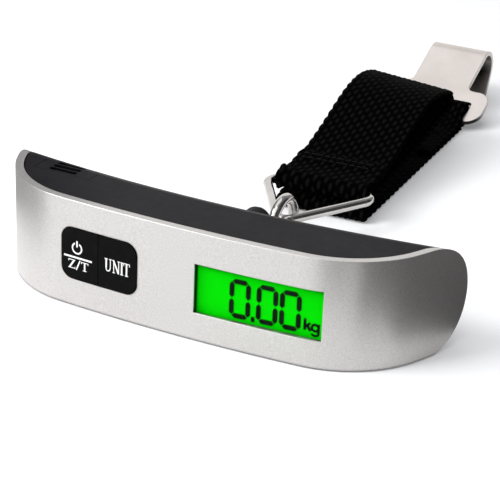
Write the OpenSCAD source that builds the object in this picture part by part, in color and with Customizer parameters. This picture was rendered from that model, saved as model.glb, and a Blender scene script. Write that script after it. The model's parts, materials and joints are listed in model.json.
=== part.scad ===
// Digital luggage scale: a curved hand grip with a display and two keys, a load cell
// inside it, and a pull eye, triangular ring, folded webbing strap and hook behind it.
// X runs along the grip, the display faces -Y, the load pulls along +Y and +Z is up.
// The origin is the middle of the flat face that the grip rests on.

/* [Body] */
// Height of the grip
body_h = 32.6; // [32:0.1:34]
// Depth of the grip at its middle, front face to round back
body_d = 34; // [33:0.5:36]
// Radius of the long front curve
face_r = 484; // [460:1:520]
// Half length of the long front curve
face_half = 38.3; // [37:0.1:40]
// Radius of the rounded corners seen from above
end_r = 31.7; // [31:0.1:33]
// Radius of the flatter stretch behind each corner
tail_r = 72; // [68:1:80]
// Angle through which each corner turns
corner_turn = 63.6; // [62:0.1:65]
// Radius of the hollow sweep of the round back
back_r = 422; // [400:1:460]
// Thickness of the silver front shell
shell_t = 2.4; // [2.2:0.1:2.6]
// Wall thickness of the rear housing
wall = 2; // [1.8:0.1:2.2]
// Gap between neighbouring covers
seam = 0.3; // [0.2:0.05:0.35]

/* [Display] */
// Middle of the window along X
window_x = 25.5; // [25:0.1:26]
// Middle of the window above the rest face
window_z = 15.95; // [15.5:0.05:16.5]
// Width of the window
window_w = 37.8; // [36:0.1:38]
// Height of the window
window_h = 14.7; // [14:0.1:15]
// Angle of the display about the vertical
window_turn = 4; // [3.8:0.1:4.2]

/* [Keys] */
// Middle of the key field along X
pad_x = -24.2; // [-25:0.1:-24]
// Middle of the key field above the rest face
pad_z = 16.5; // [16:0.1:17]
// Width of the key field
pad_w = 25.7; // [25:0.1:26]
// Height of the key field
pad_h = 16; // [15:0.1:16.5]
// Corner radius of the key field
pad_corner = 3.8; // [3:0.1:4.5]
// How far a key stands out of the face
key_proud = 0.3; // [0.2:0.05:0.4]
// Travel of a key
key_travel = 0.5; // [0.3:0.1:0.5]

/* [Pull eye and ring] */
// Height of the load axis
axis_z = 16.3; // [16:0.1:16.6]
// Distance of the eye's hinge pin behind the origin
pin_y = 33.6; // [33:0.1:34]
// Distance from the hinge pin to the middle of the eye
eye_reach = 26.03; // [25.5:0.1:26.5]
// Angle by which the slack eye hangs down
eye_droop = 15.4; // [15:0.1:15.6]
// Radius of the eye's centre line
eye_r = 7.5; // [7.3:0.1:7.6]
// Radius of the eye's wire
eye_wire_r = 1.7; // [1.6:0.05:1.75]
// Corner point of the ring's two legs
apex_y = 55.3; // [55:0.1:55.6]
// Height of that corner point
apex_z = 10.6; // [10.5:0.1:10.8]
// Length of the ring from that corner point to its base bar
ring_len = 37.8; // [37.5:0.1:38]
// Half length of the base bar between its corner points
ring_half = 20.8; // [20.5:0.1:21]
// Radius of the ring's wire
ring_wire_r = 1.5; // [1.4:0.05:1.5]
// Downward slope of the slack ring
ring_pitch = 1.8; // [1.7:0.1:1.9]
// Angle of the ring, strap and hook off the centre line
load_yaw = 3.2; // [0:0.1:4]

/* [Strap] */
// Width of the webbing
strap_w = 29.4; // [25:0.2:29.6]
// Thickness of the webbing
strap_t = 1.4; // [1.2:0.1:1.4]
// Position of the far fold along the strap
far_y = 174.6; // [173:0.1:176]
// Height of the far fold's middle
far_z = 15.2; // [15:0.1:16]
// Centre line radius of the far fold
far_r = 3.5; // [3.3:0.1:3.8]
// Height of the upper run's arch
arch_h = 6.2; // [4:0.1:7]
// Position of the near fold along the strap
near_y = 92; // [91.5:0.1:93]
// Centre line radius of the near fold
near_r = 1.9; // [1.8:0.1:1.9]

/* [Hook] */
// Position of the hook's base bar along the strap
bar_y = 195.1; // [194.5:0.1:196]
// Height of the base bar's middle
bar_z = 3.65; // [3.6:0.05:3.8]
// Thickness of the hook plate
plate_t = 1.6; // [1.5:0.1:1.6]
// Half width of the hook plate across its slot
plate_half = 20.9; // [20:0.1:21.5]
// Half width of the hook's tongue
tongue_half = 11.1; // [10.5:0.1:11.5]
// Upward slope of the hook plate at rest
plate_rise = 27; // [26:0.5:28]
// Angle through which the hook's end is bent over
hook_turn = 145; // [142:1:146]

/* [Hidden] */
$fn = 72;

front_y = 7 - body_d / 2;
back_y = front_y + body_d - body_h / 2;
foot = 0.4;
top_step = 0.3;
turn_1 = asin(face_half / face_r);
face_c = [0, front_y + face_r];
end_c = face_c + (face_r - end_r) * [sin(turn_1), -cos(turn_1)];
tail_c = end_c - (tail_r - end_r) * [sin(corner_turn), -cos(corner_turn)];
big_fn = 360;
deep = 60;

// Display stack, as distances behind the chord of the window
lens_y = 0.9;
lens_t = 0.8;
lcd_y = 1.8;
lcd_t = 2;
frame_y = 3.2;
frame_t = 2.8;
light_t = 1.8;
lens_w = window_w + 1.6;
lens_h = window_h + 2.2;
chord_y = front_y + 1.33;

// Boards and battery
board_y = -1;
board_t = 1.4;
screw_at = [[-32.5, 9], [40, axis_z]];
cell_x = -47;
cell_r = 10;
cell_t = 3.2;
cell_y = 14.5;
holder_y = 13.4;
holder_w = 22.6;
door_x0 = -57;
door_x1 = -38;
door_y0 = 7.4;
door_z0 = 5;
groove_x = -48;
groove_y = 9.3;
groove_step = 2.35;
groove_w = 9.2;
groove_t = 1.85;
groove_z = [1.3, 1.4, 1.7];
door_gap = 0.12;

// Load cell
beam_y0 = 5;
beam_d = 8;
beam_w = 56;
beam_h = 12.6;
post_x = 23;
collar_r = 4.5;
collar_bore_r = 3.9;
collar_end = 42;
clevis_r = 3.6;
pin_r = 1.2;
pin_fit = 0.05;
shank_r = 1.4;

// Ring, strap and hook
apex_r = 3;
corner_r = 5.2;
leg_turn = atan(ring_half / ring_len);
base_y = apex_y + ring_len * cos(ring_pitch);
base_z = apex_z - ring_len * sin(ring_pitch);
loop_in = ring_wire_r + 0.15;
loop_out = loop_in + strap_t;
edge_bore_r = 2.65;
edge_bore_len = 3;
half_t = strap_t / 2;
near_z = half_t + near_r;
flap_end = 109.5;
arch_skew = 1.6;
arch_steps = 12;
fold_gap = 0.3;
bar_half = 2;
slot_half = 15.4;
slot_len = 6.2;
bend_r = 6.1;
bend_at = 33.4;
return_len = 10.8;
hook_loop_out = bar_z;
hook_loop_in = bar_z - strap_t;
hook_loop_y = 197.5;
pocket_len = 6;

// ---- helpers ----

// A plan outline of the grip, drawn in by a constant distance
module outline(inset) {
  cut_x = (face_r - inset) * sin(turn_1);
  cut_y = end_c[1] - (end_r - inset) * cos(corner_turn);
  intersection() {
    translate(face_c) circle(face_r - inset, $fn = big_fn);
    translate([-cut_x, front_y - 10]) square([2 * cut_x, deep]);
  }
  for (side = [-1, 1]) {
    translate([side * end_c[0], end_c[1]]) circle(end_r - inset, $fn = big_fn);
    intersection() {
      translate([side * tail_c[0], tail_c[1]]) circle(tail_r - inset, $fn = big_fn);
      translate([side < 0 ? -90 : 0, cut_y]) square([90, deep - 12 - cut_y]);
    }
  }
}

// The grip's section, flat above and below and round at the back, swept along the back's curve
module grip_sweep(inset, z0, z1) {
  translate([0, back_y + back_r, 0])
    rotate([0, 0, -102])
      rotate_extrude(angle = 24, $fn = big_fn)
        intersection() {
          union() {
            translate([back_r, inset]) square([40, body_h - 2 * inset]);
            translate([back_r, body_h / 2]) circle(body_h / 2 - inset);
          }
          translate([back_r - 40, z0]) square([90, z1 - z0]);
        }
}

module prism(inset) {
  translate([0, 0, -1]) linear_extrude(body_h + 2) outline(inset);
}

// Extrudes an XZ drawing from y0 to y1
module slab(y0, y1) {
  translate([0, y1, 0]) rotate([90, 0, 0]) linear_extrude(y1 - y0) children();
}

// Extrudes a YZ drawing by a width centred on the YZ plane
module across(width) {
  translate([-width / 2, 0, 0]) rotate([90, 0, 90]) linear_extrude(width) children();
}

module rounded(w, h, r) {
  translate([-w / 2 + r, -h / 2]) square([w - 2 * r, h]);
  translate([-w / 2, -h / 2 + r]) square([w, h - 2 * r]);
  for (x = [-1, 1]) for (y = [-1, 1]) translate([x * (w / 2 - r), y * (h / 2 - r)]) circle(r);
}

// A layer that follows the long front curve, between two depths behind the face
module face_layer(d0, d1) {
  translate([face_c[0], face_c[1], 0]) difference() {
    cylinder(r = face_r - d0, h = body_h, $fn = big_fn);
    translate([0, 0, -1]) cylinder(r = face_r - d1, h = body_h + 2, $fn = big_fn);
  }
}

module at_display() {
  translate([window_x, chord_y, window_z]) rotate([0, 0, window_turn]) children();
}

module plate_at_display(w, h, y, t) {
  at_display() translate([-w / 2, y, -h / 2]) cube([w, t, h]);
}

module y_cylinder(r, y0, y1) {
  translate([0, y1, 0]) rotate([90, 0, 0]) cylinder(r = r, h = y1 - y0);
}

module x_cylinder(r, len) {
  rotate([0, 90, 0]) cylinder(r = r, h = len, center = true);
}

// The frame of the ring, strap and hook, turned about the eye
module at_load() {
  translate([0, apex_y, 0]) rotate([0, 0, load_yaw]) translate([0, -apex_y, 0]) children();
}

// ---- covers ----

module key_hole() {
  translate([pad_x, pad_z]) rounded(pad_w, pad_h, pad_corner);
}

module front_shell() {
  color("silver") difference() {
    intersection() {
      grip_sweep(0, foot, body_h);
      difference() {
        prism(0);
        prism(shell_t);
      }
    }
    slab(front_y - 5, front_y + 6) key_hole();
    plate_at_display(window_w, window_h, -5, 12);
    plate_at_display(lens_w + 0.3, lens_h + 0.3, lens_y - 0.05, 8);
  }
}

module door_block(grow, reach) {
  translate([door_x0 - grow, door_y0 - grow, door_z0 - grow])
    cube([door_x1 - door_x0 + 2 * grow, reach, body_h]);
}

module housing_posts() {
  for (side = [-1, 1]) translate([side * post_x, 0, axis_z]) y_cylinder(4, beam_y0 + beam_d, 26);
  for (at = screw_at) translate([at[0], 0, at[1]]) y_cylinder(3, 2, 26);
}

module rear_housing() {
  color("dimgray") difference() {
    union() {
      difference() {
        intersection() {
          grip_sweep(0, 0, body_h - top_step);
          prism(shell_t + seam);
        }
        intersection() {
          grip_sweep(wall, 0, body_h);
          prism(shell_t + seam + wall);
        }
        intersection() {
          grip_sweep(wall, 0, body_h);
          translate([-43, front_y, 0]) cube([90, 16, body_h]);
        }
      }
      intersection() {
        grip_sweep(wall / 2, 0, body_h);
        housing_posts();
      }
      translate([0, 0, axis_z]) rotate([-90, 0, 0]) translate([0, 0, 22.3]) cylinder(r1 = 8.3, r2 = 5.6, h = 7.7);
    }
    translate([0, 0, axis_z]) y_cylinder(collar_r, 15, 40);
    intersection() {
      door_block(door_gap, deep);
      grip_sweep(0, 0, body_h);
    }
    for (side = [-1, 1]) translate([side * post_x, 0, axis_z]) y_cylinder(1.25, 10, 20);
    for (at = screw_at) translate([at[0], 0, at[1]]) y_cylinder(1.1, 0, 12);
  }
}

module battery_door() {
  color("dimgray") difference() {
    intersection() {
      difference() {
        grip_sweep(0, 0, body_h - top_step);
        grip_sweep(wall, 0, body_h);
      }
      door_block(0, deep);
    }
    for (i = [0:2]) translate([groove_x, groove_y + groove_step * i, body_h - groove_z[i]]) linear_extrude(3) {
      square([groove_w - groove_t, groove_t], center = true);
      for (side = [-1, 1]) translate([side * (groove_w - groove_t) / 2, 0]) circle(groove_t / 2);
    }
  }
}

module housing_screws() {
  color("gainsboro") for (at = screw_at) translate([at[0], 0, at[1]]) {
    y_cylinder(1.1, 0.6, 11);
    y_cylinder(2.2, board_y + board_t, 0.6);
  }
}

module neck_collar() {
  color("black") translate([0, 0, axis_z]) difference() {
    union() {
      y_cylinder(collar_r, 20.5, collar_end - 1.2);
      rotate([-90, 0, 0]) translate([0, 0, collar_end - 1.2]) cylinder(r1 = collar_r, r2 = collar_r - 0.5, h = 1.2);
    }
    y_cylinder(collar_bore_r, 15, 50);
  }
}

// ---- keys ----

module key(x0, x1) {
  intersection() {
    face_layer(-key_proud, shell_t + 1);
    slab(front_y - 5, front_y + 8) intersection() {
      translate([pad_x, pad_z]) rounded(pad_w - 0.4, pad_h - 0.4, pad_corner - 0.2);
      translate([x0, 0]) square([x1 - x0, body_h]);
    }
  }
  intersection() {
    face_layer(shell_t + 0.1, shell_t + 1);
    translate([x0, front_y - 5, pad_z - pad_h / 2 - 0.8]) cube([x1 - x0, 14, pad_h + 1.6]);
  }
}

module power_button() {
  color("black") key(pad_x - pad_w / 2 - 0.8, pad_x - 0.1);
}

module unit_button() {
  color("black") key(pad_x + 0.1, pad_x + pad_w / 2 + 0.8);
}

switch_x = [pad_x - pad_w / 4, pad_x + pad_w / 4];

module keypad_mat() {
  color("gray") {
    intersection() {
      face_layer(shell_t + 1.6, shell_t + 2.4);
      translate([pad_x - 14, front_y, pad_z - 9]) cube([28, 10, 18]);
    }
    for (x = switch_x) translate([x, 0, pad_z])
      y_cylinder(1.6, front_y + face_r - sqrt(pow(face_r, 2) - pow(x, 2)) + shell_t + 1.8, -4);
  }
}

module key_switches() {
  color("silver") for (x = switch_x) translate([x, 0, pad_z]) {
    translate([-3, board_y - 1.9, -3]) cube([6, 1.9, 6]);
    y_cylinder(1.5, -3.95, board_y - 1);
  }
}

// ---- display ----

module window_lens() {
  color([0.8, 0.95, 0.85, 0.4]) plate_at_display(lens_w, lens_h, lens_y, lens_t);
}

module lcd_panel() {
  color("limegreen") plate_at_display(lens_w - 0.2, lens_h - 0.2, lcd_y, lcd_t);
}

module lcd_frame() {
  color("white") difference() {
    plate_at_display(lens_w + 2, lens_h + 2.4, frame_y, frame_t);
    plate_at_display(lens_w + 0.2, lens_h + 0.2, frame_y - 1, frame_t + 2);
  }
}

module backlight() {
  color("palegreen") at_display()
    translate([-lens_w / 2 + 0.3, lcd_y + lcd_t + 0.1, -lens_h / 2 + 3]) cube([lens_w - 0.6, light_t, lens_h - 3.4]);
}

module zebra_strip() {
  color("pink") at_display()
    translate([-lens_w / 2 + 1.5, lcd_y + lcd_t + 0.05, -lens_h / 2 + 0.4]) cube([lens_w - 3, 2.2, 2]);
}

// ---- electronics ----

module circuit_board() {
  color("darkgreen") difference() {
    translate([-44, board_y, 4]) cube([90, board_t, body_h - 8]);
    for (at = screw_at) translate([at[0], 0, at[1]]) y_cylinder(1.3, -5, 5);
  }
}

module scale_chip() {
  color("black") translate([14, 0, axis_z + 4]) y_cylinder(4, board_y + board_t, board_y + board_t + 1.2);
}

module board_components() {
  part_sizes = [[2, 1.25], [3.2, 1.6], [1.6, 0.8]];
  color("tan") {
    for (i = [0:5]) translate([-30 + 5 * i, board_y + board_t, 24]) cube([part_sizes[i % 3][0], 0.8, part_sizes[i % 3][1]]);
    for (i = [0:3]) translate([26 + 4 * i, board_y + board_t, 7.5]) cube([part_sizes[i % 2][0], 0.8, part_sizes[i % 2][1]]);
    translate([5, board_y + board_t, 8]) cube([7, 2.5, 2.6]);
  }
}

module battery() {
  color("lightgray") translate([cell_x, 0, axis_z]) {
    y_cylinder(cell_r, cell_y, cell_y + cell_t);
    y_cylinder(cell_r - 1.2, cell_y - 0.3, cell_y);
  }
}

module battery_holder() {
  color("black") difference() {
    translate([cell_x - holder_w / 2, holder_y, axis_z - holder_w / 2]) cube([holder_w, 4.2, holder_w]);
    translate([cell_x, 0, axis_z]) y_cylinder(cell_r + 0.2, holder_y + 0.6, 30);
  }
}

module contact_plus() {
  color("silver") translate([cell_x - 3, cell_y + cell_t, axis_z - 8]) cube([6, 0.3, 16]);
}

module contact_minus() {
  color("silver") translate([cell_x - 2.5, holder_y + 0.6, axis_z - 6]) cube([5, 0.2, 12]);
}

module battery_leads() {
  for (i = [0, 1]) color(i == 0 ? "red" : "black")
    translate([cell_x + 6 + 4 * i, 0, axis_z - 4 + 8 * i]) y_cylinder(0.55, board_y + board_t, holder_y);
}

// ---- load cell ----

module load_cell() {
  color("silver") difference() {
    translate([-beam_w / 2, beam_y0, axis_z - beam_h / 2]) cube([beam_w, beam_d, beam_h]);
    for (side = [-1, 1]) {
      for (x = [9.5, 14]) translate([side * x, beam_y0 + beam_d / 2, 0]) cylinder(r = 2.6, h = body_h);
      translate([side * post_x, 0, axis_z]) y_cylinder(1.6, 0, 20);
    }
    translate([0, 0, axis_z]) y_cylinder(2, 0, 20);
  }
}

module strain_gauges() {
  color("orange") for (x = [-14, -9.5, 9.5, 14])
    translate([x - 1.6, beam_y0 - 0.15, axis_z - 2.5]) cube([3.2, 0.15, 5]);
}

module gauge_wires() {
  wire_colours = ["red", "white", "green", "black"];
  for (i = [0:3]) color(wire_colours[i])
    translate([-14 + 9.3 * i, 0, axis_z - 4]) y_cylinder(0.4, board_y + board_t, beam_y0);
}

module load_cell_screws() {
  color("gainsboro") {
    for (side = [-1, 1]) translate([side * post_x, 0, axis_z]) {
      y_cylinder(1.25, beam_y0 - 0.5, 19.5);
      y_cylinder(2.6, beam_y0 - 2, beam_y0);
    }
  }
}

module pull_clevis() {
  color("gray") translate([0, 0, axis_z]) difference() {
    union() {
      y_cylinder(1.95, beam_y0 + 0.5, beam_y0 + beam_d + 1);
      y_cylinder(clevis_r, beam_y0 + beam_d, pin_y + 3.6);
    }
    translate([-1.85, pin_y - 5.4, -6]) cube([3.7, 20, 12]);
    translate([0, pin_y, 0]) x_cylinder(pin_r, 20);
  }
}

module clevis_pin() {
  color("silver") translate([0, pin_y, axis_z]) x_cylinder(pin_r, 6.6);
}

// ---- pull eye and ring ----

module pull_eye() {
  color("silver") translate([0, pin_y, axis_z]) rotate([-eye_droop, 0, 0]) difference() {
    union() {
      x_cylinder(3.3, 2 * eye_wire_r);
      y_cylinder(shank_r, 2, eye_reach - eye_r);
      translate([0, eye_reach, 0]) rotate([0, 90, 0]) rotate_extrude() translate([eye_r, 0]) circle(eye_wire_r, $fn = 32);
    }
    x_cylinder(pin_r + pin_fit, 10);
  }
}

module ring_arc(r, start, turn) {
  rotate([0, 0, start]) rotate_extrude(angle = turn) translate([r, 0]) circle(ring_wire_r, $fn = 32);
}

module triangle_ring() {
  apex_skip = apex_r / tan(leg_turn);
  base_turn = 90 - leg_turn;
  base_skip = corner_r / tan(base_turn / 2);
  leg_len = sqrt(pow(ring_len, 2) + pow(ring_half, 2));
  lap = 0.3;
  rod_r = ring_wire_r - 0.03;
  color("silver") at_load() translate([0, apex_y, apex_z]) rotate([-ring_pitch, 0, 0]) {
    translate([0, apex_r / sin(leg_turn), 0]) ring_arc(apex_r, 180 + leg_turn, 180 - 2 * leg_turn);
    for (side = [-1, 1]) {
      rotate([0, 0, side * leg_turn]) y_cylinder(rod_r, apex_skip - lap, leg_len - base_skip + lap);
      translate([side * (ring_half - base_skip), ring_len - corner_r, 0])
        ring_arc(corner_r, side > 0 ? -leg_turn : 90, 90 + leg_turn);
    }
    translate([0, ring_len, 0]) x_cylinder(rod_r, 2 * (ring_half - base_skip + lap));
  }
}

// ---- strap ----

// A band of the webbing's thickness above a line of points
module webbing(line) {
  n = len(line);
  polygon(concat(line, [for (i = [1:n]) line[n - i] + [0, strap_t]]));
}

module strap_top_run() {
  flap_y = 101;
  flap_z = 9.95;
  rise = far_z + far_r - half_t - flap_z;
  arch = [for (i = [0:arch_steps]) let (t = i / arch_steps)
    [flap_y + t * (far_y - flap_y), flap_z + t * rise + arch_h * sin(180 * pow(t, arch_skew))]];
  sink = 0.1;
  end_t = (flap_end - flap_y) / (far_y - flap_y);
  end_z = flap_z + end_t * rise + arch_h * sin(180 * pow(end_t, arch_skew)) + strap_t - sink;
  color("black") at_load() difference() {
    across(strap_w) difference() {
      union() {
        translate([base_y, base_z]) circle(loop_out);
        webbing(concat([[base_y, base_z - loop_out]], arch));
        webbing([[base_y, base_z + loop_in], [flap_y, flap_z + strap_t - sink], [flap_end, end_z]]);
      }
      translate([base_y, base_z]) circle(loop_in);
    }
    for (side = [-1, 1]) translate([side * strap_w / 2, base_y, base_z]) x_cylinder(edge_bore_r, 2 * edge_bore_len);
  }
}

module strap_middle_run() {
  color("black") at_load() across(strap_w)
    webbing([[near_y + fold_gap, near_z + near_r - half_t], [far_y - fold_gap, far_z - far_r - half_t]]);
}

module strap_floor_run() {
  back_off = 7;
  color("black") at_load() across(strap_w) {
    translate([near_y, 0]) square([hook_loop_y - near_y, strap_t]);
    difference() {
      translate([hook_loop_y, bar_z]) circle(hook_loop_out);
      translate([hook_loop_y, bar_z]) circle(hook_loop_in);
      translate([hook_loop_y - 10, 0]) square([10, 20]);
    }
    webbing([
      [hook_loop_y - 40, strap_t], [hook_loop_y - pocket_len - back_off, strap_t],
      [hook_loop_y - pocket_len, bar_z + hook_loop_in], [hook_loop_y, bar_z + hook_loop_in]
    ]);
  }
}

// ---- hook ----

// The flat plate, with the base bar's middle at the origin and the tongue along +Y
module hook_outline() {
  low = -bar_half;
  low_r = 6.5;
  high_r = 5;
  shoulder = 14;
  neck_r = 2.3;
  difference() {
    union() {
      translate([-plate_half + low_r, low]) square([2 * (plate_half - low_r), shoulder - low]);
      translate([-plate_half, low + low_r]) square([2 * plate_half, shoulder - high_r - low - low_r]);
      for (side = [-1, 1]) {
        translate([side * (plate_half - low_r), low + low_r]) circle(low_r);
        translate([side * (plate_half - high_r), shoulder - high_r]) circle(high_r);
      }
      translate([-tongue_half, 0]) square([2 * tongue_half, bend_at]);
      translate([-tongue_half - neck_r, 0]) square([2 * (tongue_half + neck_r), shoulder + neck_r]);
    }
    for (side = [-1, 1]) translate([side * (tongue_half + neck_r), shoulder + neck_r]) circle(neck_r);
    translate([0, bar_half + slot_len / 2]) rounded(2 * slot_half, slot_len, 1.2);
  }
}

module hook_plate() {
  lap = 0.02;
  lap_turn = 2;
  inset = 0.05;
  reach = 20;
  color("gainsboro") at_load() translate([0, bar_y, bar_z]) rotate([plate_rise, 0, -load_yaw]) {
    translate([0, 0, -plate_t / 2]) linear_extrude(plate_t) hook_outline();
    translate([0, bend_at, -bend_r]) {
      across(2 * (tongue_half - inset)) intersection() {
        difference() {
          circle(bend_r + plate_t / 2 - lap);
          circle(bend_r - plate_t / 2 + lap);
        }
        polygon([
          [0, 0], reach * [cos(90 + lap_turn), sin(90 + lap_turn)], [reach, reach], [reach, -reach],
          reach * [cos(90 - hook_turn - lap_turn), sin(90 - hook_turn - lap_turn)]
        ]);
      }
      rotate([-hook_turn, 0, 0]) translate([-tongue_half, 0, bend_r - plate_t / 2])
        cube([2 * tongue_half, return_len, plate_t]);
    }
  }
}

front_shell();
rear_housing();
battery_door();
housing_screws();
neck_collar();
power_button();
unit_button();
keypad_mat();
key_switches();
window_lens();
lcd_panel();
lcd_frame();
backlight();
zebra_strip();
circuit_board();
scale_chip();
board_components();
battery();
battery_holder();
contact_plus();
contact_minus();
battery_leads();
load_cell();
strain_gauges();
gauge_wires();
load_cell_screws();
pull_clevis();
clevis_pin();
pull_eye();
triangle_ring();
strap_top_run();
strap_middle_run();
strap_floor_run();
hook_plate();
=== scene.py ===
import bpy
import json
import math
from mathutils import Matrix, Vector


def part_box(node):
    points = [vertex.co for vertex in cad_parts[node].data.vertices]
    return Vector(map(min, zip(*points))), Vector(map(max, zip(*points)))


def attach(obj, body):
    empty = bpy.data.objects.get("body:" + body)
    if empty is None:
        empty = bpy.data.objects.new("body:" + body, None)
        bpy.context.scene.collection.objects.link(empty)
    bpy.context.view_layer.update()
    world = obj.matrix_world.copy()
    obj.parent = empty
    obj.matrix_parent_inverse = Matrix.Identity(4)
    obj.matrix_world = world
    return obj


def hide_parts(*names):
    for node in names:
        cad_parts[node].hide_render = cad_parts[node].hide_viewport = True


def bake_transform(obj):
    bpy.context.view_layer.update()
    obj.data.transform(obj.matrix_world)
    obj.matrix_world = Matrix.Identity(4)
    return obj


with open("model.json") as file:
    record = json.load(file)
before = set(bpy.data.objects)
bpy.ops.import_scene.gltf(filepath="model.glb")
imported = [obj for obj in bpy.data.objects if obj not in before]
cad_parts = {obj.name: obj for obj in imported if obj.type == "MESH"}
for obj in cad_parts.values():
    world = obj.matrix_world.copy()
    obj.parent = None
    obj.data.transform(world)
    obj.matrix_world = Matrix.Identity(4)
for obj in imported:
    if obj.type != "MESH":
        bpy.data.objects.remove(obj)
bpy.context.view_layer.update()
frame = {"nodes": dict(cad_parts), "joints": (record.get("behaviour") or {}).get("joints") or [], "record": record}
nodes = frame["nodes"]
MM = 0.001


# ---------------------------------------------------------------- materials

class Mat:
    """A node material with short helpers. Sockets are named with _ for each space."""

    def __init__(self, name, color=(0.5, 0.5, 0.5), **sockets):
        self.object_coords = None
        self.mat = bpy.data.materials.new(name)
        self.mat.use_nodes = True
        self.tree = self.mat.node_tree
        self.bsdf = self.tree.nodes["Principled BSDF"]
        self.bsdf.inputs["Base Color"].default_value = (*color, 1)
        for key, value in sockets.items():
            self.bsdf.inputs[key.replace("_", " ")].default_value = value

    def node(self, kind, **values):
        """A new node. A value that isn't one of its own settings goes to its input socket."""
        made = self.tree.nodes.new(kind)
        for key, value in values.items():
            if hasattr(made, key):
                setattr(made, key, value)
            else:
                made.inputs[key.replace("_", " ")].default_value = value
        return made

    def link(self, a, b):
        self.tree.links.new(a, b)

    def coords(self):
        if self.object_coords is None:
            self.object_coords = self.node("ShaderNodeTexCoord").outputs["Object"]
        return self.object_coords

    def noise(self, scale, detail, stretch=None):
        """Noise from 0 to 1 over the piece's own coordinates, which stretch can scale first."""
        tex = self.node("ShaderNodeTexNoise", Scale=scale, Detail=detail, Roughness=0.5)
        if stretch:
            mapping = self.node("ShaderNodeMapping")
            mapping.inputs["Scale"].default_value = stretch
            self.link(self.coords(), mapping.inputs["Vector"])
            self.link(mapping.outputs["Vector"], tex.inputs["Vector"])
        else:
            self.link(self.coords(), tex.inputs["Vector"])
        return tex.outputs["Fac"]

    def remap(self, value, low, high):
        """The value from 0 to 1 as one from low to high."""
        out = self.node("ShaderNodeMapRange")
        out.inputs["To Min"].default_value = low
        out.inputs["To Max"].default_value = high
        self.link(value, out.inputs["Value"])
        return out.outputs["Result"]

    def tint(self, value, dark, light, start=0.3, end=0.7):
        """Base colour from dark, where the value is start, to light, where it is end."""
        ramp = self.node("ShaderNodeValToRGB")
        ramp.color_ramp.elements[0].position = start
        ramp.color_ramp.elements[1].position = end
        ramp.color_ramp.elements[0].color = (*dark, 1)
        ramp.color_ramp.elements[1].color = (*light, 1)
        self.link(value, ramp.inputs["Fac"])
        self.link(ramp.outputs["Color"], self.bsdf.inputs["Base Color"])

    def paint_hollow_shade(self, distance, closed, clear, darkest=0.03):
        """Paint shade into the base colour where the surface's open share falls from clear to closed."""
        hollow = self.node("ShaderNodeAmbientOcclusion", samples=8, Distance=distance)
        curve = self.node("ShaderNodeMapRange")
        curve.inputs["From Min"].default_value = closed
        curve.inputs["From Max"].default_value = clear
        curve.inputs["To Min"].default_value = darkest
        self.link(hollow.outputs["AO"], curve.inputs["Value"])
        scaled = self.node("ShaderNodeVectorMath", operation="SCALE")
        self.link(self.bsdf.inputs["Base Color"].links[0].from_socket, scaled.inputs["Vector"])
        self.link(curve.outputs["Result"], scaled.inputs["Scale"])
        self.link(scaled.outputs["Vector"], self.bsdf.inputs["Base Color"])

    def rough(self, value, low, high):
        self.link(self.remap(value, low, high), self.bsdf.inputs["Roughness"])

    def bump(self, value, distance, strength, edge=0.0):
        """Surface bumps up to distance high, and edges that look rounded by the radius edge."""
        bump = self.node("ShaderNodeBump", Strength=strength, Distance=distance)
        self.link(value, bump.inputs["Height"])
        if edge:
            bevel = self.node("ShaderNodeBevel", samples=4, Radius=edge)
            self.link(bevel.outputs["Normal"], bump.inputs["Normal"])
        self.link(bump.outputs["Normal"], self.bsdf.inputs["Normal"])


def silver_paint():
    m = Mat("silver_paint", Metallic=0.85, Roughness=0.4)
    flake = m.noise(2600, 3)
    m.tint(flake, (0.52, 0.503, 0.492), (0.66, 0.640, 0.627))
    # Painted shade: the base colour darkens in seams and hollows and along the foot on the floor, a painted
    # contact shadow.
    m.paint_hollow_shade(distance=0.0016, closed=0.45, clear=0.85)
    m.rough(flake, 0.34, 0.46)
    m.bump(flake, distance=0.00002, strength=0.35, edge=0.0005)
    return m.mat


def dark_moulding():
    m = Mat("dark_moulding", Roughness=0.5, Specular_IOR_Level=0.05)
    m.tint(m.noise(90, 3), (0.010, 0.009, 0.011), (0.014, 0.013, 0.015))
    # Painted shade: the base colour darkens in the grooves, the seams and other hollows.
    m.paint_hollow_shade(distance=0.002, closed=0.4, clear=0.9)
    m.rough(m.noise(400, 3), 0.42, 0.55)
    m.bump(m.noise(2600, 4), distance=0.00003, strength=0.5, edge=0.0003)
    return m.mat


def key_moulding():
    m = Mat("key_moulding", Roughness=0.5, Specular_IOR_Level=0.03)
    m.tint(m.noise(300, 3), (0.003, 0.003, 0.003), (0.005, 0.005, 0.005))
    m.rough(m.noise(900, 3), 0.45, 0.6)
    m.bump(m.noise(3000, 3), distance=0.00002, strength=0.4, edge=0.0003)
    return m.mat


def chrome():
    m = Mat("polished_chrome", Metallic=1.0, Roughness=0.08)
    m.tint(m.noise(120, 2), (0.50, 0.48, 0.465), (0.58, 0.56, 0.54))
    # Painted shade: the base colour darkens where other parts close the metal in.
    m.paint_hollow_shade(distance=0.004, closed=0.1, clear=0.8)
    m.rough(m.noise(700, 4), 0.08, 0.16)
    m.bump(m.noise(500, 2), distance=0.00002, strength=0.15, edge=0.0002)
    return m.mat


def hook_steel():
    m = Mat("satin_nickel", Metallic=0.9, Roughness=0.4)
    brushed = m.noise(900, 4, stretch=(1, 0.06, 0.06))
    m.tint(m.noise(70, 3), (0.61, 0.56, 0.53), (0.69, 0.64, 0.61))
    # Painted shade: the base colour darkens inside the hook and where the strap and floor close it in.
    m.paint_hollow_shade(distance=0.016, closed=0.62, clear=0.82)
    m.rough(brushed, 0.34, 0.46)
    m.bump(brushed, distance=0.00002, strength=0.2, edge=0.0004)
    return m.mat


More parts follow.
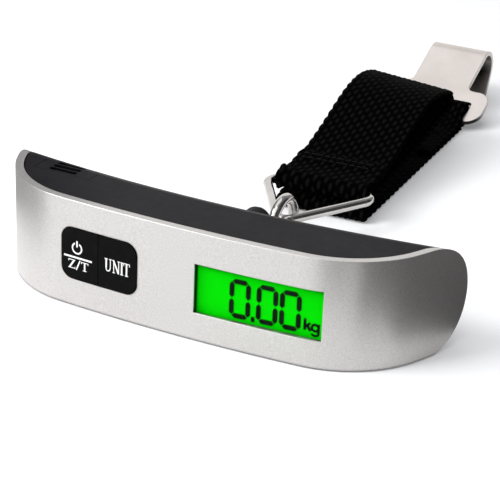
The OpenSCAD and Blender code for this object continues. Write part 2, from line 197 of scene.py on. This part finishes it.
def webbing():
    """Black yarns with painted shade between them: lighter where the attribute weave says that they stand up, with
    random tone.
    """
    m = Mat("black_webbing", Roughness=0.6, Specular_IOR_Level=0.005)
    yarn = m.node("ShaderNodeAttribute", attribute_name="weave").outputs["Fac"]
    # Painted shade: the yarns' rise times a random tone, so the gaps between the yarns are painted darker.
    yarn_shade_and_tone = m.node("ShaderNodeMath", operation="MULTIPLY")
    m.link(yarn, yarn_shade_and_tone.inputs[0])
    m.link(m.remap(m.noise(1500, 4), 0.5, 1.3), yarn_shade_and_tone.inputs[1])
    m.tint(yarn_shade_and_tone.outputs["Value"], (0.0003, 0.0003, 0.0003), (0.0075, 0.0075, 0.0075), end=1.0)
    m.rough(m.noise(2500, 3), 0.5, 0.7)
    m.bump(m.noise(7000, 3), distance=0.00008, strength=0.6)
    return m.mat


def thread():
    m = Mat("black_thread", Roughness=0.6, Specular_IOR_Level=0.05)
    m.tint(m.noise(4000, 3), (0.003, 0.003, 0.003), (0.008, 0.008, 0.008))
    m.bump(m.noise(9000, 2), distance=0.00005, strength=0.5)
    return m.mat


def lit_display(corner, width_axis):
    """Lit green field, with painted shade along the window's edge above and on the left."""
    m = Mat("lit_display", Roughness=0.5, Specular_IOR_Level=0.0, Emission_Strength=0.22)

    def edge(axis, offset, depth):
        """Rises from 0 to 1 over depth, counted along the axis from the offset."""
        spread = m.node("ShaderNodeVectorMath", operation="DOT_PRODUCT")
        m.link(m.coords(), spread.inputs[0])
        spread.inputs[1].default_value = axis
        fade = m.node("ShaderNodeMapRange", interpolation_type="SMOOTHSTEP")
        fade.inputs["From Min"].default_value = offset
        fade.inputs["From Max"].default_value = offset + depth
        m.link(spread.outputs["Value"], fade.inputs["Value"])
        return fade.outputs["Result"]

    # Painted shade: the field darkens towards the window's top and left edges, in its glow too.
    top = edge((0, 0, -1), -corner.z, depth=0.0024)
    side = edge(width_axis, corner.dot(width_axis), depth=0.0006)
    both = m.node("ShaderNodeMath", operation="MULTIPLY")
    m.link(top, both.inputs[0])
    m.link(side, both.inputs[1])
    shade = m.node("ShaderNodeMath", operation="MULTIPLY")
    m.link(both.outputs["Value"], shade.inputs[0])
    m.link(m.remap(m.noise(70, 2), 0.96, 1.04), shade.inputs[1])
    m.tint(shade.outputs["Value"], (0.0, 0.02, 0.0), (0.0, 0.60, 0.0), start=0.0, end=1.0)
    ramp = m.bsdf.inputs["Base Color"].links[0].from_socket
    m.link(ramp, m.bsdf.inputs["Emission Color"])
    return m.mat


def segment_ink():
    m = Mat("segment_ink", Roughness=0.7, Specular_IOR_Level=0.0)
    m.tint(m.noise(900, 2), (0.003, 0.006, 0.003), (0.006, 0.012, 0.006))
    return m.mat


def legend_ink_and_glow():
    # White print, with a painted glow from its small emission.
    m = Mat("legend_ink_and_glow", Roughness=0.6, Emission_Color=(1, 1, 1, 1), Emission_Strength=0.05)
    m.tint(m.noise(1800, 3), (0.80, 0.80, 0.79), (0.90, 0.90, 0.89))
    return m.mat


def clear_lens():
    m = Mat("clear_lens", (0.02, 0.05, 0.02), Roughness=0.04, Alpha=0.02)
    m.bump(m.noise(200, 2), distance=0.00001, strength=0.05)
    return m.mat


def plain(name, dark, light, metallic=0.0, low=0.35, high=0.55):
    """A finish between two close tones, with a roughness from low to high."""
    m = Mat(name, Metallic=metallic)
    m.tint(m.noise(120, 3), dark, light)
    m.rough(m.noise(600, 3), low, high)
    m.bump(m.noise(1800, 3), distance=0.00002, strength=0.4)
    return m.mat


# The display looks a little to the right. Its figures lie just in front of the panel's face.
WINDOW_W, WINDOW_H = 37.8 * MM, 14.7 * MM
DISPLAY_TURN = math.radians(4)
PANEL_HALF_T = 1.0 * MM
FIGURE_GAP = 0.04 * MM
panel_low, panel_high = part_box("lcd_panel")
face_dir = Vector((math.sin(DISPLAY_TURN), -math.cos(DISPLAY_TURN), 0))
right_dir = Vector((math.cos(DISPLAY_TURN), math.sin(DISPLAY_TURN), 0))
screen_middle = (panel_low + panel_high) / 2 + face_dir * (PANEL_HALF_T + FIGURE_GAP)
window_corner = screen_middle - right_dir * (WINDOW_W / 2) + Vector((0, 0, WINDOW_H / 2))

bright = plain("plated_steel", (0.60, 0.60, 0.60), (0.70, 0.70, 0.70), 1.0, 0.2, 0.35)
black_plastic = plain("inner_black", (0.015, 0.015, 0.015), (0.03, 0.03, 0.03))
finishes = {
    "silver_shell": silver_paint(),
    "dark_housing": dark_moulding(),
    "key_black": key_moulding(),
    "mat_rubber": plain("mat_rubber", (0.28, 0.28, 0.29), (0.36, 0.36, 0.37), 0.0, 0.6, 0.8),
    "switch_steel": bright,
    "screw_steel": bright,
    "lens_clear": clear_lens(),
    "display_green": lit_display(window_corner, right_dir),
    "frame_white": plain("frame_white", (0.75, 0.75, 0.73), (0.85, 0.85, 0.83)),
    "light_guide": plain("light_guide", (0.5, 0.85, 0.5), (0.6, 0.95, 0.6), 0.0, 0.1, 0.2),
    "board_green": plain("board_green", (0.015, 0.12, 0.05), (0.02, 0.17, 0.07), 0.0, 0.25, 0.4),
    "chip_black": black_plastic,
    "component_tan": plain("component_tan", (0.42, 0.30, 0.16), (0.55, 0.42, 0.26)),
    "lead_red": plain("lead_red", (0.42, 0.02, 0.02), (0.52, 0.03, 0.03)),
    "cell_aluminium": plain("cell_aluminium", (0.70, 0.70, 0.72), (0.80, 0.80, 0.82), 1.0, 0.25, 0.4),
    "gauge_orange": plain("gauge_orange", (0.65, 0.30, 0.05), (0.80, 0.42, 0.10)),
    "bright_chrome": chrome(),
    "webbing_black": webbing(),
    "hook_steel": hook_steel(),
}
for part in frame["record"]["subparts"]:
    mesh = nodes[part["node"]].data
    mesh.materials.clear()
    mesh.materials.append(finishes[part["material_slot"]])


# ---------------------------------------------------------------- helpers

def new_object(name, verts, faces, material, smooth=True):
    """An object in the scene from its points and faces, with one material."""
    mesh = bpy.data.meshes.new(name)
    mesh.from_pydata(verts, [], faces)
    mesh.validate()
    mesh.update()
    mesh.materials.append(material)
    for poly in mesh.polygons:
        poly.use_smooth = smooth
    obj = bpy.data.objects.new(name, mesh)
    bpy.context.scene.collection.objects.link(obj)
    return obj


def joint(name):
    return next(j for j in frame["joints"] if j["name"] == name)


# ---------------------------------------------------------------- webbing

ring_bar = Vector(joint("strap_swing")["pos_m"])
far_hinge = Vector(joint("far_fold")["pos_m"])
near_hinge = Vector(joint("near_fold")["pos_m"])
hook_bar = Vector(joint("hook_swing")["pos_m"])
AXIS = Vector(joint("far_fold")["axis"]).normalized()
ALONG = Vector((-AXIS.y, AXIS.x, 0))
ORIGIN = Vector((ring_bar.x, ring_bar.y, 0))


def along(point):
    """How far a point lies along the strap, from the ring's bar."""
    return (point - ORIGIN).dot(ALONG)


def place(across, y, z):
    """A point from its place across the strap, along it and above the floor."""
    return ORIGIN + AXIS * across + ALONG * y + Vector((0, 0, z))


TAPE_T = 1.4 * MM
HALF_T = TAPE_T / 2
HALF_W = 15.05 * MM

# Radii of the tape's middle line round the ring's bar, at the two folds and at the hook's loop.
RING_LOOP = 1.65 * MM + HALF_T
FAR_R = 3.5 * MM
NEAR_R = 1.9 * MM
HOOK_R = 2.0 * MM

# The upper run: where it leaves the ring's bar, where it meets the flap sewn on it, where the
# flap ends, and how high it arches.
LEAVE_Y = 3.5 * MM
LEAVE_DROP = 0.6 * MM
FLAP_Y = 7.92 * MM
FLAP_Z = 9.95 * MM + HALF_T
FLAP_END = 16.42 * MM
ARCH = 6.2 * MM
ARCH_SKEW = 1.6
ARCH_STEPS = 24

# The hook's loop: its reach past the bar, the heights of its two bends, and its tape from the top
# of the bar down to the floor run and flat on it, as distances from the bar and heights.
HOOK_REACH = 4.1 * MM
HOOK_LOW_Z = 2.7 * MM
HOOK_HIGH_Z = 6.1 * MM
HOOK_FLAP = (
    (1.2 * MM, 6.7 * MM),
    (-3.6 * MM, 4.1 * MM),
    (-10.6 * MM, HALF_T * 3.2),
    (-37 * MM, HALF_T * 3),
)

far_y, far_z = along(far_hinge), far_hinge.z
near_y, near_z = along(near_hinge), near_hinge.z
ring_y, ring_z = along(ring_bar), ring_bar.z
bar_y = along(hook_bar)
loop_y = bar_y + HOOK_REACH


def arc(y, z, r, start, end, step=8):
    """Points on an arc in the strap's side view, angles in degrees."""
    n = max(3, int(abs(end - start) / step))
    made = []
    for i in range(n + 1):
        a = math.radians(start + (end - start) * i / n)
        made.append((y + r * math.cos(a), z + r * math.sin(a)))
    return made


def run_z(y):
    """Centre line height of the arched upper run."""
    t = (y - FLAP_Y) / (far_y - FLAP_Y)
    return FLAP_Z + t * (far_z + FAR_R - FLAP_Z) + ARCH * math.sin(math.pi * t ** ARCH_SKEW)


def walk(points, step):
    """Points at even steps along a polyline."""
    out, carry = [Vector(points[0])], 0.0
    for a, b in zip(points, points[1:]):
        a, b = Vector(a), Vector(b)
        length = (b - a).length
        at = step - carry
        while at <= length:
            out.append(a + (b - a) * (at / length))
            at += step
        carry = length - (at - step)
    return out


def smooth(points, times):
    """Points drawn towards the middle of their neighbours. The two ends stay."""
    for _ in range(times):
        inner = [(a + b * 2 + c) / 4 for a, b, c in zip(points, points[1:], points[2:])]
        points = [points[0]] + inner + [points[-1]]
    return points


# The tape's middle line in its side view, from the flap's end round the ring to the end at the hook.
path = [(FLAP_END, run_z(FLAP_END) + TAPE_T), (FLAP_Y, run_z(FLAP_Y) + TAPE_T)]
path += arc(ring_y, ring_z, RING_LOOP, 90, 262)
path += [(ring_y + LEAVE_Y, ring_z - LEAVE_DROP), (FLAP_Y, run_z(FLAP_Y))]
for i in range(1, ARCH_STEPS + 1):
    y = FLAP_Y + (far_y - FLAP_Y) * i / ARCH_STEPS
    path.append((y, run_z(y)))
path += arc(far_y, far_z, FAR_R, 78, -90)
path += arc(near_y, near_z, NEAR_R, 95, 270, 12)
path += arc(loop_y, HOOK_LOW_Z, HOOK_R, -90, 0, 15)
path += arc(loop_y, HOOK_HIGH_Z, HOOK_R, 0, 115, 15)
path += [(bar_y + y, z) for y, z in HOOK_FLAP]

# The weave: one rise of a yarn along the tape in rows, and the yarns across it in columns.
CELL_L = 4.3 * MM
STEPS = 6
YARNS = 16
YARN_STEPS = 3
COLUMNS = YARNS * YARN_STEPS + 1
spine = smooth(walk(path, CELL_L / STEPS), 3)


def index_at(test):
    return next(i for i, p in enumerate(spine) if test(i, p))


# Rows where the tape turns back, and rows where one piece of it ends and the next starts, a few
# mm from the folds.
TOP_CUT = 4 * MM
FAR_CUT = 2 * MM
NEAR_CUT = 2 * MM
far_turn = index_at(lambda i, p: p.x > far_y + FAR_R * 0.9)
near_turn = index_at(lambda i, p: i > far_turn and p.x < near_y - NEAR_R * 0.8)
top_end = max(i for i in range(far_turn) if spine[i].x < far_y - TOP_CUT)
middle_start = min(i for i in range(far_turn, near_turn) if spine[i].x < far_y - FAR_CUT)
middle_end = max(i for i in range(far_turn, near_turn) if spine[i].x > near_y + NEAR_CUT)
floor_start = min(i for i in range(near_turn, len(spine)) if spine[i].x > near_y + NEAR_CUT)

# The far fold springs open: from where on, how many mm it stands up, and how many less or more
# at its edges.
TWIST_FROM = 125 * MM - ring_bar.y
FOLD_RISE = 2.6
FOLD_TWIST = 1.5

# The tape's section: half its thickness between the yarns, how far a yarn stands proud and what
# share of that is left inside the hook's loop, the selvedge's bumps, the outer part of the half
# width that thins towards the edge, and what the edge loses of the thickness and of the yarns.
CORE_T = HALF_T - 0.25 * MM
YARN_PROUD = 0.3 * MM
INNER_SHARE = 0.2
SELVEDGE = 0.45 * MM
EDGE_FROM, EDGE_PART = 0.95, 0.05
EDGE_THIN, EDGE_FLAT = 0.9, 0.5

# At the ring's bar the tape spreads and follows the ring's corners. At the hook's slot it draws in.
RING_NEAR = 3.6 * MM
RING_SPREAD = 0.5 * MM
CORNER_FROM = 12 * MM
CORNER_PART = 3.6 * MM
CORNER_R = 5.2 * MM
HOOK_NEAR = 6 * MM
SLOT_NEAR = 3 * MM
SLOT_DRAW = 0.5 * MM


def yarn_rise(i, k):
    """How far a yarn stands up at row i and column k, from 0 to 1. Its neighbours are half a cell on."""
    shift = (k // YARN_STEPS) % 2 / 2
    return abs(math.sin(math.pi * (i / STEPS + shift))) * abs(math.sin(math.pi * k / YARN_STEPS))


def fold_lift(i, s):
    """How far the far fold stands up at row i, most on its left edge. s is from -1 to 1 across."""
    y = spine[i].x
    if i > near_turn or y < TWIST_FROM:
        return 0.0
    t = min(1.0, (y - TWIST_FROM) / (far_y - TWIST_FROM))
    return t * t * (3 - 2 * t) * (FOLD_RISE - FOLD_TWIST * s) * MM


def corner_spread(w):
    """How far the ring's corners push the tape off its bar, at w from the tape's middle."""
    past = min(max(w - CORNER_FROM, 0.0), CORNER_PART)
    return CORNER_R - math.sqrt(CORNER_R ** 2 - past ** 2)


def tape_row(i):
    """Row i of the tape, the face towards the bars first: its points, and how far their yarns rise."""
    p = spine[i]
    from_ring = p - Vector((ring_y, ring_z))
    at_ring = from_ring.length < RING_NEAR
    tangent = (spine[min(i + 1, len(spine) - 1)] - spine[max(i - 1, 0)]).normalized()
    normal = Vector((-tangent.y, tangent.x))
    half = HALF_W + SELVEDGE * abs(math.sin(math.pi * i / STEPS))
    if p.x > bar_y - SLOT_NEAR:
        half -= SLOT_DRAW
    if at_ring:
        half += RING_SPREAD
    verts, rises = [], []
    for face in (1, -1):
        for k in range(COLUMNS):
            s = k / (COLUMNS - 1) * 2 - 1
            # A yarn that stands up on one face is down on the other, half a cell on.
            rise = yarn_rise(i + STEPS // 2 * (face < 0), k)
            if face > 0 and p.x > bar_y - HOOK_NEAR:
                rise *= INNER_SHARE
            edge = max(0.0, (abs(s) - EDGE_FROM) / EDGE_PART)
            thick = CORE_T * math.sqrt(1 - edge * edge * EDGE_THIN)
            at = p + normal * (face * (thick + YARN_PROUD * rise * (1 - edge * EDGE_FLAT)))
            at.y += fold_lift(i, s)
            if at_ring:
                at += from_ring.normalized() * corner_spread(abs(s * half))
            verts.append(place(s * half, at.x, at.y))
            rises.append(rise)
    return verts, rises


def tape_faces(count):
    """The faces of a stretch of count rows: its two broad faces, its two edges and its two ends."""
    faces = []
    row = COLUMNS * 2
    for i in range(count - 1):
        a, b = i * row, (i + 1) * row
        for k in range(COLUMNS - 1):
            faces.append((a + k, a + k + 1, b + k + 1, b + k))
            faces.append((a + COLUMNS + k + 1, a + COLUMNS + k, b + COLUMNS + k, b + COLUMNS + k + 1))
        faces.append((a + COLUMNS, a, b, b + COLUMNS))
        faces.append((a + COLUMNS - 1, a + 2 * COLUMNS - 1, b + 2 * COLUMNS - 1, b + COLUMNS - 1))
    end = (count - 1) * row
    for k in range(COLUMNS - 1):
        faces.append((k + 1, k, COLUMNS + k, COLUMNS + k + 1))
        faces.append((end + k, end + k + 1, end + COLUMNS + k + 1, end + COLUMNS + k))
    return faces


def woven(name, first, last):
    """A stretch of the tape from one row to another: yarns that cross over and under on both faces."""
    verts, rises = [], []
    for i in range(first, last + 1):
        row_verts, row_rises = tape_row(i)
        verts += row_verts
        rises += row_rises
    made = new_object(name, verts, tape_faces(last - first + 1), finishes["webbing_black"])
    made.data.attributes.new("weave", "FLOAT", "POINT").data.foreach_set("value", rises)
    return made


webbing_top = woven("webbing_top", 0, top_end)
webbing_far_fold = woven("webbing_far_fold", top_end, middle_start)
webbing_middle = woven("webbing_middle", middle_start, middle_end)
webbing_near_fold = woven("webbing_near_fold", middle_end, floor_start)
webbing_floor = woven("webbing_floor", floor_start, len(spine) - 1)
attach(webbing_top, "strap_top")
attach(webbing_middle, "strap_middle")
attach(webbing_floor, "strap_floor")
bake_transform(webbing_far_fold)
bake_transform(webbing_near_fold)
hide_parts("strap_top_run")
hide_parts("strap_middle_run")
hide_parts("strap_floor_run")


# Each stitch is a low arch of flat thread. Its ends are sunk a little into the tape.
STITCH_PITCH = 2.4 * MM
STITCH_HALF_L = 0.9 * MM
STITCH_HALF_W = 0.22 * MM
STITCH_RISE = 0.32 * MM
STITCH_SINK = 0.02 * MM
STITCH_T = 0.2 * MM
STITCH_STEPS = 6
SEAM_HALF_W = 13 * MM
SEAM_LIFT = 0.1 * MM
thread_mat = thread()


def stitches(name, body, y, z, slope, rows):
    """Seams of stitches across the strap, at the distances rows along it. slope is the tape's own."""
    verts, faces = [], []
    for row in rows:
        for i in range(int(SEAM_HALF_W * 2 / STITCH_PITCH)):
            w = -SEAM_HALF_W + (i + 0.5) * STITCH_PITCH
            base = len(verts)
            for t in range(STITCH_STEPS + 1):
                a = math.pi * t / STITCH_STEPS
                lift = STITCH_RISE * math.sin(a) - STITCH_SINK
                dw = -STITCH_HALF_L * math.cos(a)
                for side in (-STITCH_HALF_W, STITCH_HALF_W):
                    verts.append(place(w + dw, y + row + side, z + slope * row + lift))
            for t in range(STITCH_STEPS):
                faces.append((base + 2 * t, base + 2 * t + 1, base + 2 * t + 3, base + 2 * t + 2))
    obj = new_object(name, verts, faces, thread_mat)
    solid = obj.modifiers.new("thick", "SOLIDIFY")
    solid.thickness = STITCH_T
    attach(obj, body)


FLAP_SEAM_Y = FLAP_END - 5.4 * MM
FLAP_SLOPE = 0.19
LOOP_SEAM_Y = bar_y - 14 * MM
stitches("flap_stitches", "strap_top", FLAP_SEAM_Y, run_z(FLAP_SEAM_Y) + HALF_T * 3 + SEAM_LIFT,
         FLAP_SLOPE, [0, 2.6 * MM])
stitches("loop_stitches", "strap_floor", LOOP_SEAM_Y, HALF_T * 4 + SEAM_LIFT, 0.0,
         [0, -2.4 * MM, -18 * MM])


# ---------------------------------------------------------------- display figures

def screen(u, v, lift):
    """A point in front of the display, u and v from 0 to 1 from its upper left corner."""
    return (screen_middle + right_dir * ((u - 0.5) * WINDOW_W) + Vector((0, 0, (0.5 - v) * WINDOW_H))
            + face_dir * lift)


def flat_shapes(name, polygons, to_point, material, body, thick):
    """Thin plates with the polygons' outlines, put in place by to_point(x, y, height)."""
    verts, faces = [], []
    for poly in polygons:
        base = len(verts)
        n = len(poly)
        verts += [to_point(x, y, 0.0) for x, y in poly]
        verts += [to_point(x, y, thick) for x, y in poly]
        faces.append(tuple(base + n + i for i in range(n)))
        for i in range(n):
            faces.append((base + i, base + (i + 1) % n, base + n + (i + 1) % n, base + n + i))
    obj = new_object(name, verts, faces, material, smooth=False)
    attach(obj, body)


BAR_GAP = 0.010
BAR_NOSE = 0.5


def bar(ax, ay, bx, by, t):
    """A lit segment between two corner points, pointed at both ends."""
    dx, dy = bx - ax, by - ay
    length = math.hypot(dx, dy)
    ux, uy = dx / length, dy / length
    nx, ny = -uy * t / 2, ux * t / 2
    cut = BAR_GAP + t * BAR_NOSE
    return [
        (ax + ux * BAR_GAP, ay + uy * BAR_GAP),
        (ax + ux * cut + nx, ay + uy * cut + ny),
        (bx - ux * cut + nx, by - uy * cut + ny),
        (bx - ux * BAR_GAP, by - uy * BAR_GAP),
        (bx - ux * cut - nx, by - uy * cut - ny),
        (ax + ux * cut - nx, ay + uy * cut - ny),
    ]


def nought(x0, x1, y0, y1, t):
    """The six lit segments of a nought between its outer edges, in window-height units."""
    left, right, top, low = x0 + t / 2, x1 - t / 2, y0 + t / 2, y1 - t / 2
    mid = (top + low) / 2
    return [
        bar(left, top, right, top, t), bar(left, low, right, low, t),
        bar(left, top, left, mid, t), bar(left, mid, left, low, t),
        bar(right, top, right, mid, t), bar(right, mid, right, low, t),
    ]


# Left and right edges as shares of the window's width, tops, feet and strokes of its height.
ASPECT = WINDOW_W / WINDOW_H
NOUGHTS = ((0.262, 0.430), (0.474, 0.642), (0.654, 0.822))
POINT = (0.437, 0.467)
FIGURE_TOP, POINT_TOP, FIGURE_FOOT = 0.18, 0.875, 0.975
FIGURE_STROKE = 0.1
segments = []
for left, right in NOUGHTS:
    segments += nought(left * ASPECT, right * ASPECT, FIGURE_TOP, FIGURE_FOOT, FIGURE_STROKE)
left, right = POINT[0] * ASPECT, POINT[1] * ASPECT
segments.append([(left, POINT_TOP), (right, POINT_TOP), (right, FIGURE_FOOT), (left, FIGURE_FOOT)])


def stroke(x0, y0, x1, y1, t):
    """A straight stroke of width t as one polygon."""
    dx, dy = x1 - x0, y1 - y0
    length = math.hypot(dx, dy)
    nx, ny = -dy / length * t / 2, dx / length * t / 2
    return [(x0 + nx, y0 + ny), (x1 + nx, y1 + ny), (x1 - nx, y1 - ny), (x0 - nx, y0 - ny)]


def ring(cx, cy, rx, ry, t, start, end, n):
    """An arc of a ring as short strokes, angles in degrees."""
    out = []
    for i in range(n):
        a0 = math.radians(start + (end - start) * i / n)
        a1 = math.radians(start + (end - start) * (i + 1) / n)
        out.append([
            (cx + rx * math.cos(a0), cy + ry * math.sin(a0)),
            (cx + rx * math.cos(a1), cy + ry * math.sin(a1)),
            (cx + (rx - t) * math.cos(a1), cy + (ry - t) * math.sin(a1)),
            (cx + (rx - t) * math.cos(a0), cy + (ry - t) * math.sin(a0)),
        ])
    return out


# The unit after the figures: a k from three strokes, and a g from a ring, a stem and a hook.
UNIT_X = 0.842 * ASPECT
segments += [
    stroke(UNIT_X + 0.03, 0.66, UNIT_X + 0.03, 0.895, 0.055),
    stroke(UNIT_X + 0.045, 0.825, UNIT_X + 0.135, 0.735, 0.05),
    stroke(UNIT_X + 0.07, 0.79, UNIT_X + 0.15, 0.895, 0.06),
]
segments += ring(UNIT_X + 0.235, 0.815, 0.09, 0.09, 0.05, 0, 360, 20)
segments.append(stroke(UNIT_X + 0.30, 0.73, UNIT_X + 0.30, 0.925, 0.05))
segments += ring(UNIT_X + 0.235, 0.925, 0.09, 0.07, 0.045, 0, 165, 12)

FIGURE_T = 0.05 * MM
flat_shapes("display_figures", segments, lambda x, y, h: screen(x / ASPECT, y, h), segment_ink(),
            "grip", FIGURE_T)


# ---------------------------------------------------------------- key legends

# The grip's curved front as seen from above, how far the keys stand proud of it, and the gap
# under the ink and its thickness.
FACE_R = 484 * MM
FACE_Y = -10 * MM
KEY_PROUD = 0.3 * MM
INK_GAP = 0.004 * MM
INK_T = 0.03 * MM


def on_key(x, z, h):
    """A point at height h on the curved key faces."""
    y = FACE_Y + FACE_R - math.sqrt((FACE_R + KEY_PROUD) ** 2 - x * x)
    n = Vector((x, y - FACE_Y - FACE_R, 0)).normalized()
    return Vector((x, y, z)) + n * (h + INK_GAP)


def mm_shapes(polys):
    return [[(x * MM, z * MM) for x, z in poly] for poly in polys]


def letter(kind, x, z, w, h, t):
    """A serif capital from straight strokes, lower left corner at x, z."""
    s = t * 0.42

    def serif(cx, cz, sw):
        return stroke(cx - sw / 2, cz, cx + sw / 2, cz, s)

    out = []
    if kind == "U":
        out += [stroke(x + w * 0.24, z + h, x + w * 0.24, z + h * 0.28, t),
                stroke(x + w * 0.82, z + h, x + w * 0.82, z + h * 0.28, s * 1.2)]
        out += ring(x + w * 0.5, z + h * 0.3, w * 0.36, h * 0.3, s * 1.5, 180, 360, 12)
        out += [serif(x + w * 0.24, z + h - s / 2, w * 0.46),
                serif(x + w * 0.82, z + h - s / 2, w * 0.36)]
    elif kind == "N":
        out += [stroke(x + w * 0.2, z + h, x + w * 0.2, z, s * 1.2),
                stroke(x + w * 0.17, z + h - s / 2, x + w * 0.84, z + s / 2, t),
                stroke(x + w * 0.86, z + h, x + w * 0.86, z, s * 1.2)]
        out += [serif(x + w * 0.14, z + h - s / 2, w * 0.3),
                serif(x + w * 0.2, z + s / 2, w * 0.34),
                serif(x + w * 0.86, z + h - s / 2, w * 0.34)]
    elif kind == "I":
        out += [stroke(x + w / 2, z + h, x + w / 2, z, t),
                serif(x + w / 2, z + h - s / 2, w * 0.9),
                serif(x + w / 2, z + s / 2, w * 0.9)]
    elif kind == "T":
        out += [stroke(x + w / 2, z + h, x + w / 2, z, t),
                serif(x + w / 2, z + h - s / 2, w),
                serif(x + w / 2, z + s / 2, w * 0.5),
                stroke(x + s / 2, z + h, x + s / 2, z + h * 0.78, s),
                stroke(x + w - s / 2, z + h, x + w - s / 2, z + h * 0.78, s)]
    elif kind == "Z":
        out += [serif(x + w / 2, z + h - s / 2, w),
                serif(x + w / 2, z + s / 2, w),
                stroke(x + w * 0.84, z + h - s / 2, x + w * 0.16, z + s / 2, t),
                stroke(x + s / 2, z + h, x + s / 2, z + h * 0.78, s),
                stroke(x + w - s / 2, z + h * 0.22, x + w - s / 2, z, s)]
    elif kind == "/":
        out += [stroke(x + w * 0.1, z, x + w * 0.9, z + h, t * 0.75)]
    return out


# In millimetres: the power symbol with a line under it and zero/tare below, and unit.
LETTER_STROKE = 0.5
power = ring(-31.4, 18.45, 1.8, 1.8, 0.45, 118, 422, 28)
power.append(stroke(-31.4, 18.8, -31.4, 20.7, 0.5))
power.append(stroke(-35.9, 15.55, -26.3, 15.55, 0.55))
for kind, x, z, w, h in (("Z", -34.4, 12.0, 2.4, 2.7), ("/", -31.8, 11.8, 1.6, 3.1),
                         ("T", -30.0, 12.0, 2.5, 2.7)):
    power += letter(kind, x, z, w, h, LETTER_STROKE)
UNIT_FOOT, UNIT_H = 14.2, 3.9
unit = []
for kind, x, w in (("U", -22.0, 2.4), ("N", -19.4, 2.5), ("I", -16.8, 1.1), ("T", -15.7, 2.1)):
    unit += letter(kind, x, UNIT_FOOT, w, UNIT_H, LETTER_STROKE)
# The legends' white print carries a painted glow.
ink = legend_ink_and_glow()
flat_shapes("power_legend", mm_shapes(power), on_key, ink, "power_key", INK_T)
flat_shapes("unit_legend", mm_shapes(unit), on_key, ink, "unit_key", INK_T)


# ---------------------------------------------------------------- floor, light, camera

floor_mat = Mat("pale_floor", Roughness=0.9, Specular_IOR_Level=0.1,
                Emission_Color=(1, 1, 1, 1), Emission_Strength=0.16)
floor_mat.tint(floor_mat.noise(4, 2), (0.875, 0.88, 0.89), (0.885, 0.89, 0.90))
FLOOR_HALF = 3.0
FLOOR_DROP = 0.00002
floor = new_object("floor", [(-FLOOR_HALF, -FLOOR_HALF, 0), (FLOOR_HALF, -FLOOR_HALF, 0),
                             (FLOOR_HALF, FLOOR_HALF, 0), (-FLOOR_HALF, FLOOR_HALF, 0)],
                   [(0, 1, 2, 3)], floor_mat.mat)
floor.location.z = -FLOOR_DROP

world = bpy.data.worlds.new("studio")
bpy.context.scene.world = world
world.use_nodes = True
background = world.node_tree.nodes["Background"]
background.inputs["Color"].default_value = (0.96, 0.97, 1.0, 1)
background.inputs["Strength"].default_value = 0.32


def area(name, position, target, size, power):
    """A square lamp of the given size in metres and power in watts, turned to the target."""
    data = bpy.data.lights.new(name, "AREA")
    data.shape = "RECTANGLE"
    data.size, data.size_y = size, size
    data.energy = power
    obj = bpy.data.objects.new(name, data)
    bpy.context.scene.collection.objects.link(obj)
    obj.location = Vector(position)
    obj.rotation_mode = "QUATERNION"
    obj.rotation_quaternion = (Vector(target) - obj.location).to_track_quat("-Z", "Y")


area("key", (-0.64, -0.54, 0.66), (0, 0.06, 0), size=0.55, power=10)
area("front", (-0.05, -0.55, 0.85), (0, 0.06, 0), size=0.9, power=3.6)
area("overhead", (-0.20, 0.20, 0.95), (0, 0.1, 0), size=0.8, power=2.2)


def card(name, foot, height, shade):
    """A standing card along the points of its foot. Only reflections see it, so it casts no shadow."""
    count = len(foot)
    verts = [Vector((x, y, 0)) for x, y in foot] + [Vector((x, y, height)) for x, y in foot]
    faces = [(i, i + 1, count + i + 1, count + i) for i in range(count - 1)]
    made = new_object(name, verts, faces, shade, smooth=False)
    made.visible_camera = False
    made.visible_diffuse = False
    made.visible_shadow = False


BEND_STEPS = 12


def bend(x, y, r, start, end):
    """Points round a centre, angles in degrees from straight ahead of the grip towards its right."""
    turns = [math.radians(start + (end - start) * i / BEND_STEPS) for i in range(BEND_STEPS + 1)]
    return [(x + r * math.sin(a), y - r * math.cos(a)) for a in turns]


black_card = plain("black_card", (0.034, 0.032, 0.032), (0.042, 0.040, 0.040), 0.0, 0.8, 0.9)
grey_card = plain("grey_card", (0.30, 0.30, 0.30), (0.34, 0.34, 0.34), 0.0, 0.8, 0.9)
white_card = Mat("white_card", (0.05, 0.05, 0.05), Roughness=0.9,
                 Emission_Color=(1, 0.99, 0.97, 1), Emission_Strength=1.0).mat

# Three cards bend round the grip's two ends. One more stands to its right, and a white one far
# behind it on the left.
END_Y = 0.015
turn_foot = bend(0.040, END_Y, 0.070, 4, 32)
right_foot = bend(0.045, END_Y, 0.050, 32, 60) + bend(0.045, END_Y, 0.036, 70, 150)
left_foot = bend(-0.045, END_Y, 0.060, -38, -150)
card("card_turn", turn_foot, height=0.16, shade=grey_card)
card("card_right", right_foot, height=0.16, shade=black_card)
card("card_left", left_foot, height=0.12, shade=grey_card)
card("card_far_right", [(0.16, 0.05), (0.22, 0.40)], height=0.25, shade=black_card)
card("card_back_left", [(-0.75, 0.55), (0.10, 0.95)], height=0.7, shade=white_card)

# The camera's place and its right, up and back directions, fitted to the object's corners.
CAMERA_AT = (0.214745, -0.394841, 0.221922)
camera_right = Vector((0.88654, 0.46090, 0.04012)).normalized()
camera_up = Vector((-0.21960, 0.34289, 0.91335)).normalized()
camera_back = Vector((0.40721, -0.81853, 0.40520)).normalized()
camera_data = bpy.data.cameras.new("camera")
camera_data.sensor_width = 36
camera_data.lens = 127.47
camera_data.clip_start, camera_data.clip_end = 0.02, 20
camera = bpy.data.objects.new("camera", camera_data)
bpy.context.scene.collection.objects.link(camera)
turn = Matrix((camera_right, camera_up, camera_back)).transposed().to_4x4()
camera.matrix_world = Matrix.Translation(CAMERA_AT) @ turn
bpy.context.scene.camera = camera
bpy.context.scene.view_settings.view_transform = "Standard"
